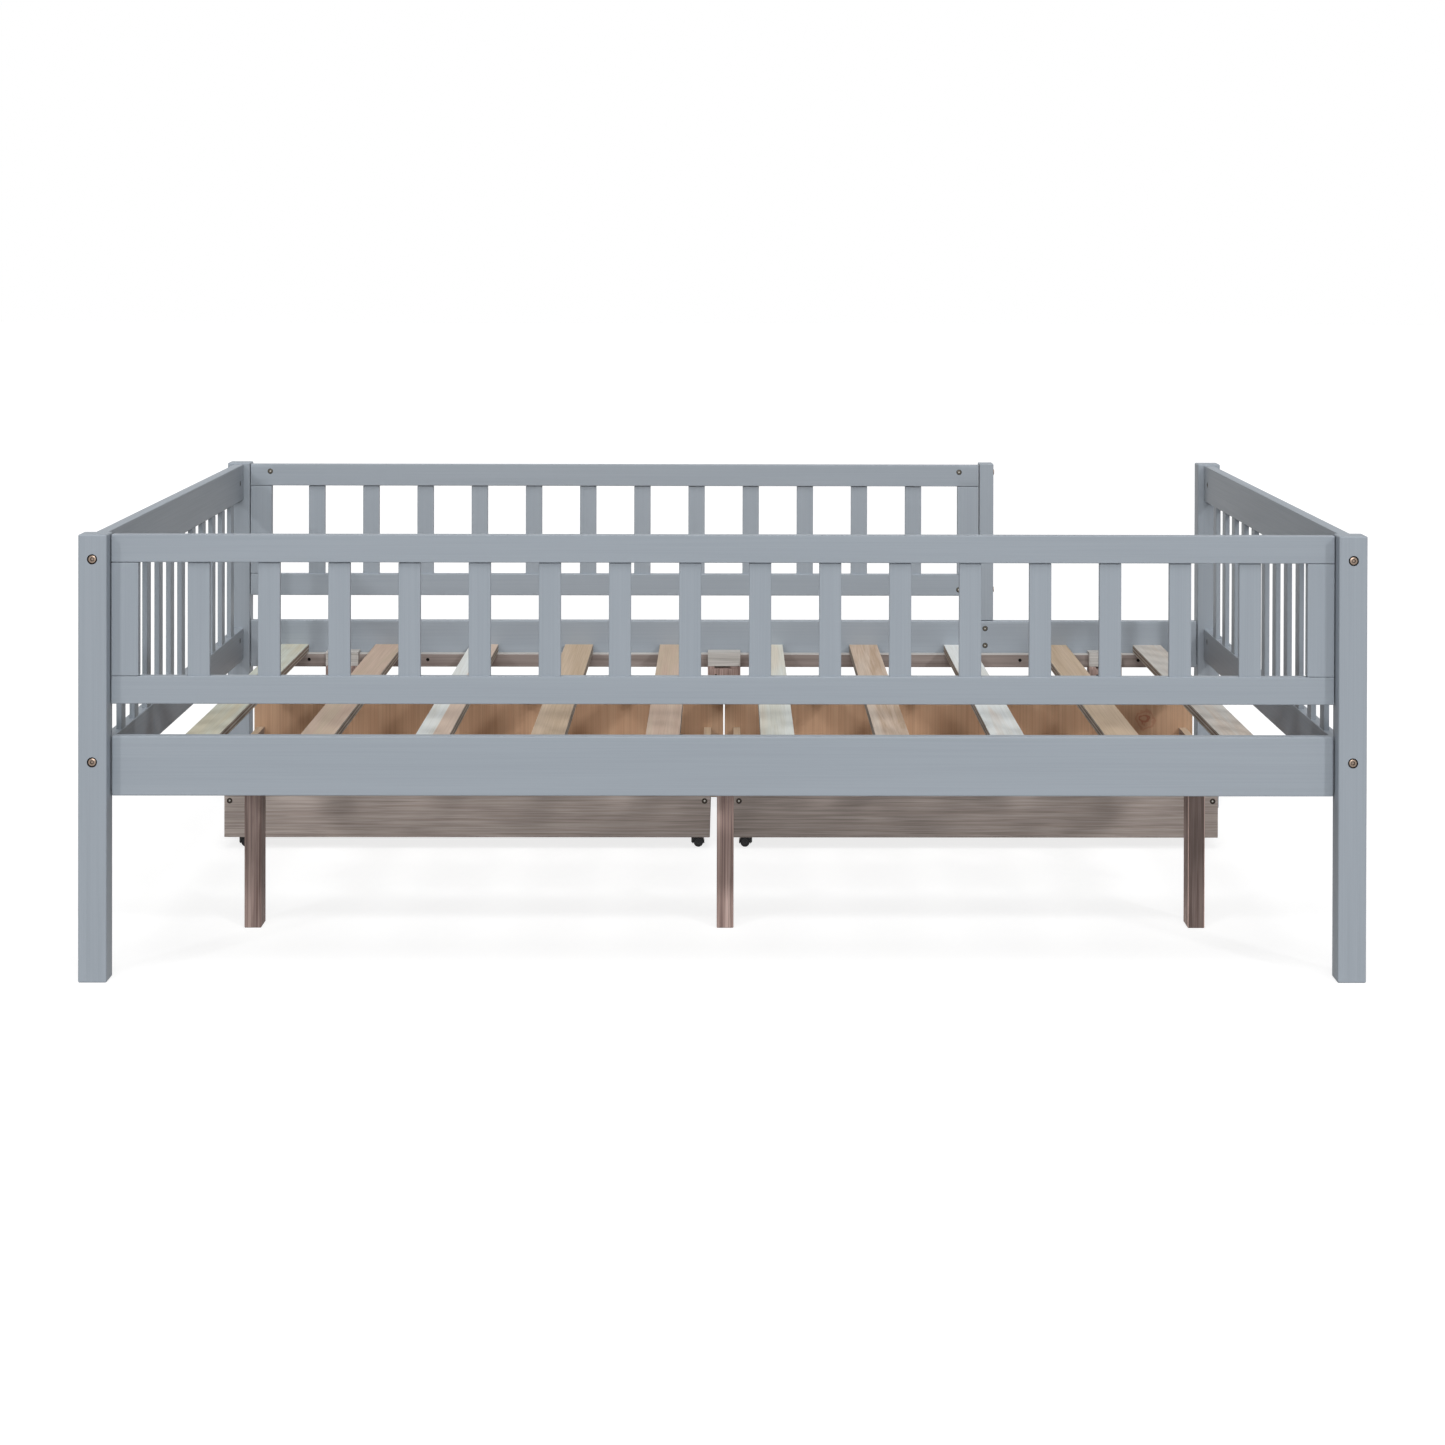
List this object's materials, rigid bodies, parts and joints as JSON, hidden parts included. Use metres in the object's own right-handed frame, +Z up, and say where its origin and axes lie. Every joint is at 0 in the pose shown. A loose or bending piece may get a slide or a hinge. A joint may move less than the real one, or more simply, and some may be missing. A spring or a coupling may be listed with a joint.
{
  "type": "storage daybed",
  "caption": "Slatted wooden daybed with square posts, full back guard, shorter front guard with an entry gap, and under-bed drawers on casters.",
  "frame": {"origin": "on the floor at the middle of the bed outline", "axes": "+X runs along the length towards the end with the entry gap, +Y points to the front where the drawers roll out, +Z is up"},
  "size_m": [2.019, 1.448, 0.702],
  "materials": {
    "grey_paint": "satin grey paint",
    "pale_plywood": "bare, unfinished",
    "brown_wood": "matt brown-grey stain",
    "drawer_tan": "matt, vertical grain",
    "drawer_board": "matt grey-brown, horizontal grain",
    "black_nylon": "moulded black"
  },
  "bodies": {
    "frame": {"back_guard_slat_panel": "grey_paint", "back_guard_top_rail": "grey_paint", "bearer_block_left": "brown_wood", "bearer_block_middle": "brown_wood", "bearer_block_right": "brown_wood", "bed_slat_01": "pale_plywood", "bed_slat_02": "pale_plywood", "bed_slat_03": "pale_plywood", "bed_slat_04": "pale_plywood", "bed_slat_05": "pale_plywood", "bed_slat_06": "pale_plywood", "bed_slat_07": "pale_plywood", "bed_slat_08": "pale_plywood", "bed_slat_09": "pale_plywood", "bed_slat_10": "pale_plywood", "cleat_back": "brown_wood", "cleat_front": "brown_wood", "end_left_slat_panel": "grey_paint", "end_left_top_rail": "grey_paint", "end_right_slat_panel": "grey_paint", "end_right_top_rail": "grey_paint", "front_guard_short_post": "grey_paint", "front_guard_slat_panel": "grey_paint", "front_guard_top_rail": "grey_paint", "post_back_left": "grey_paint", "post_back_right": "grey_paint", "post_front_left": "grey_paint", "post_front_right": "grey_paint", "side_rail_back": "grey_paint", "side_rail_front": "grey_paint", "support_beam": "brown_wood", "support_leg_left": "brown_wood", "support_leg_middle": "brown_wood", "support_leg_right": "brown_wood"},
    "drawer_left": {"drawer_left_front": "drawer_tan", "drawer_left_back": "drawer_board", "drawer_left_side_left": "drawer_board", "drawer_left_side_right": "drawer_board", "drawer_left_bottom": "drawer_board"},
    "drawer_left_back_left_hood": {"drawer_left_back_left_hood": "black_nylon"},
    "drawer_left_back_left_wheels": {"drawer_left_back_left_wheels": "black_nylon"},
    "drawer_left_back_right_hood": {"drawer_left_back_right_hood": "black_nylon"},
    "drawer_left_back_right_wheels": {"drawer_left_back_right_wheels": "black_nylon"},
    "drawer_left_front_left_hood": {"drawer_left_front_left_hood": "black_nylon"},
    "drawer_left_front_left_wheels": {"drawer_left_front_left_wheels": "black_nylon"},
    "drawer_left_front_right_hood": {"drawer_left_front_right_hood": "black_nylon"},
    "drawer_left_front_right_wheels": {"drawer_left_front_right_wheels": "black_nylon"},
    "drawer_right": {"drawer_right_front": "drawer_tan", "drawer_right_back": "drawer_board", "drawer_right_side_left": "drawer_board", "drawer_right_side_right": "drawer_board", "drawer_right_bottom": "drawer_board"},
    "drawer_right_back_left_hood": {"drawer_right_back_left_hood": "black_nylon"},
    "drawer_right_back_left_wheels": {"drawer_right_back_left_wheels": "black_nylon"},
    "drawer_right_back_right_hood": {"drawer_right_back_right_hood": "black_nylon"},
    "drawer_right_back_right_wheels": {"drawer_right_back_right_wheels": "black_nylon"},
    "drawer_right_front_left_hood": {"drawer_right_front_left_hood": "black_nylon"},
    "drawer_right_front_left_wheels": {"drawer_right_front_left_wheels": "black_nylon"},
    "drawer_right_front_right_hood": {"drawer_right_front_right_hood": "black_nylon"},
    "drawer_right_front_right_wheels": {"drawer_right_front_right_wheels": "black_nylon"}
  },
  "joints": [
    {"name": "drawer_left_roll_out", "type": "slide", "parent": "frame", "child": "drawer_left", "axis": [0, 1, 0], "range_m": [0, 0.46]},
    {"name": "drawer_left_back_left_swivel", "type": "hinge", "parent": "drawer_left", "child": "drawer_left_back_left_hood", "pos_m": [-0.9192, 0.308, 0], "axis": [0, 0, 1], "continuous": true},
    {"name": "drawer_left_back_left_wheel_spin", "type": "hinge", "parent": "drawer_left_back_left_hood", "child": "drawer_left_back_left_wheels", "pos_m": [-0.9112, 0.308, 0.009], "axis": [0, 1, 0], "continuous": true},
    {"name": "drawer_left_back_right_swivel", "type": "hinge", "parent": "drawer_left", "child": "drawer_left_back_right_hood", "pos_m": [-0.0562, 0.308, 0], "axis": [0, 0, 1], "continuous": true},
    {"name": "drawer_left_back_right_wheel_spin", "type": "hinge", "parent": "drawer_left_back_right_hood", "child": "drawer_left_back_right_wheels", "pos_m": [-0.0482, 0.308, 0.009], "axis": [0, 1, 0], "continuous": true},
    {"name": "drawer_left_front_left_swivel", "type": "hinge", "parent": "drawer_left", "child": "drawer_left_front_left_hood", "pos_m": [-0.9192, 0.652, 0], "axis": [0, 0, 1], "continuous": true},
    {"name": "drawer_left_front_left_wheel_spin", "type": "hinge", "parent": "drawer_left_front_left_hood", "child": "drawer_left_front_left_wheels", "pos_m": [-0.9112, 0.652, 0.009], "axis": [0, 1, 0], "continuous": true},
    {"name": "drawer_left_front_right_swivel", "type": "hinge", "parent": "drawer_left", "child": "drawer_left_front_right_hood", "pos_m": [-0.0562, 0.652, 0], "axis": [0, 0, 1], "continuous": true},
    {"name": "drawer_left_front_right_wheel_spin", "type": "hinge", "parent": "drawer_left_front_right_hood", "child": "drawer_left_front_right_wheels", "pos_m": [-0.0482, 0.652, 0.009], "axis": [0, 1, 0], "continuous": true},
    {"name": "drawer_right_roll_out", "type": "slide", "parent": "frame", "child": "drawer_right", "axis": [0, 1, 0], "range_m": [0, 0.46]},
    {"name": "drawer_right_back_left_swivel", "type": "hinge", "parent": "drawer_right", "child": "drawer_right_back_left_hood", "pos_m": [0.0488, 0.308, 0], "axis": [0, 0, 1], "continuous": true},
    {"name": "drawer_right_back_left_wheel_spin", "type": "hinge", "parent": "drawer_right_back_left_hood", "child": "drawer_right_back_left_wheels", "pos_m": [0.0408, 0.308, 0.009], "axis": [0, 1, 0], "continuous": true},
    {"name": "drawer_right_back_right_swivel", "type": "hinge", "parent": "drawer_right", "child": "drawer_right_back_right_hood", "pos_m": [0.9118, 0.308, 0], "axis": [0, 0, 1], "continuous": true},
    {"name": "drawer_right_back_right_wheel_spin", "type": "hinge", "parent": "drawer_right_back_right_hood", "child": "drawer_right_back_right_wheels", "pos_m": [0.9038, 0.308, 0.009], "axis": [0, 1, 0], "continuous": true},
    {"name": "drawer_right_front_left_swivel", "type": "hinge", "parent": "drawer_right", "child": "drawer_right_front_left_hood", "pos_m": [0.0488, 0.652, 0], "axis": [0, 0, 1], "continuous": true},
    {"name": "drawer_right_front_left_wheel_spin", "type": "hinge", "parent": "drawer_right_front_left_hood", "child": "drawer_right_front_left_wheels", "pos_m": [0.0408, 0.652, 0.009], "axis": [0, 1, 0], "continuous": true},
    {"name": "drawer_right_front_right_swivel", "type": "hinge", "parent": "drawer_right", "child": "drawer_right_front_right_hood", "pos_m": [0.9118, 0.652, 0], "axis": [0, 0, 1], "continuous": true},
    {"name": "drawer_right_front_right_wheel_spin", "type": "hinge", "parent": "drawer_right_front_right_hood", "child": "drawer_right_front_right_wheels", "pos_m": [0.9038, 0.652, 0.009], "axis": [0, 1, 0], "continuous": true}
  ]
}
